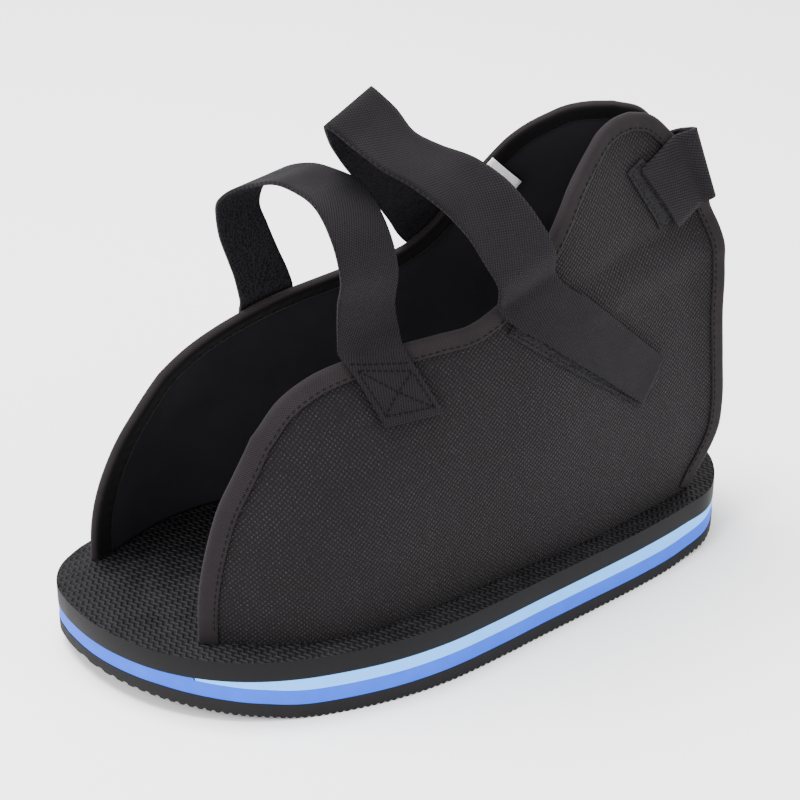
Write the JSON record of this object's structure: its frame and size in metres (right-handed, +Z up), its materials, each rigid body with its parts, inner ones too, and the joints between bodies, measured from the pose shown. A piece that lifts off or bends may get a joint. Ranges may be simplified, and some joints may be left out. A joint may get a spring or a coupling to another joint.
{
  "type": "post operative shoe",
  "caption": "Open-toe, open-heel post operative shoe with a flat rocker sole, a canvas upper in two bound wings and three webbing straps.",
  "frame": {"origin": "on the floor under the tread, at mid length on the middle line of the heel", "axes": "+X to the toe, +Y to the wearer's left, +Z up"},
  "size_m": [0.2996, 0.1392, 0.239],
  "materials": {
    "outsole_rubber": "matt black ribbed rubber",
    "midsole_dark": "matt mid blue foam",
    "midsole_light": "matt pale blue foam",
    "footbed_foam": "matt black embossed foam",
    "upper_canvas": "black woven canvas",
    "binding_tape": "dark grey woven tape",
    "strap_webbing": "black twill webbing",
    "pad_pile": "black looped pile",
    "label_white": "white woven tape, blank"
  },
  "bodies": {
    "root": {"outsole": "outsole_rubber", "midsole_lower": "midsole_dark", "midsole_wedge": "midsole_light", "footbed": "footbed_foam", "upper": "upper_canvas", "binding_left": "binding_tape", "binding_right": "binding_tape", "strap_front": "strap_webbing", "strap_ankle": "strap_webbing", "strap_heel": "strap_webbing", "pad_ankle": "pad_pile", "pad_heel": "pad_pile", "label": "label_white"}
  },
  "joints": []
}
